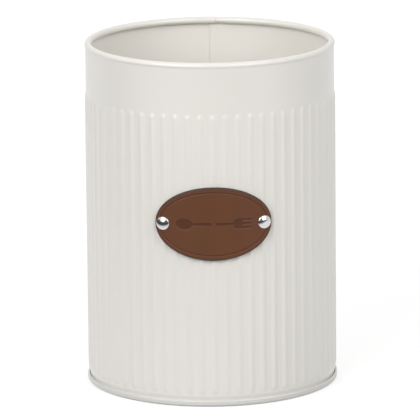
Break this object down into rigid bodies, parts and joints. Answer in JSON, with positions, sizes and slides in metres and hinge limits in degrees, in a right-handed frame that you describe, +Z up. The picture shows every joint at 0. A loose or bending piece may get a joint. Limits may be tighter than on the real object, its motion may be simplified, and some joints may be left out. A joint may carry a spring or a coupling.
{
  "type": "utensil holder",
  "caption": "Round sheet-metal utensil jar with pressed upright ribs, a rolled rim, a seamed-on base and an oval badge held by two capped rivets.",
  "frame": {"origin": "centre of the foot ring, on the surface that the jar stands on", "axes": "+Z up along the jar's axis, -Y out through the middle of the badge, lap seam on the +Y side"},
  "size_m": [0.1108, 0.1121, 0.1524],
  "materials": {
    "body_coat": "cream satin powder coat on tinplate",
    "base_coat": "cream satin powder coat on tinplate",
    "badge_leather": "smooth brown bonded leather, heat pressed",
    "rivet_nickel": "bright nickel plate"
  },
  "bodies": {
    "root": {"body_shell": "body_coat", "base_plate": "base_coat", "badge": "badge_leather", "rivet_cap_left": "rivet_nickel", "rivet_cap_right": "rivet_nickel", "rivet_post_left": "rivet_nickel", "rivet_post_right": "rivet_nickel"}
  },
  "joints": []
}
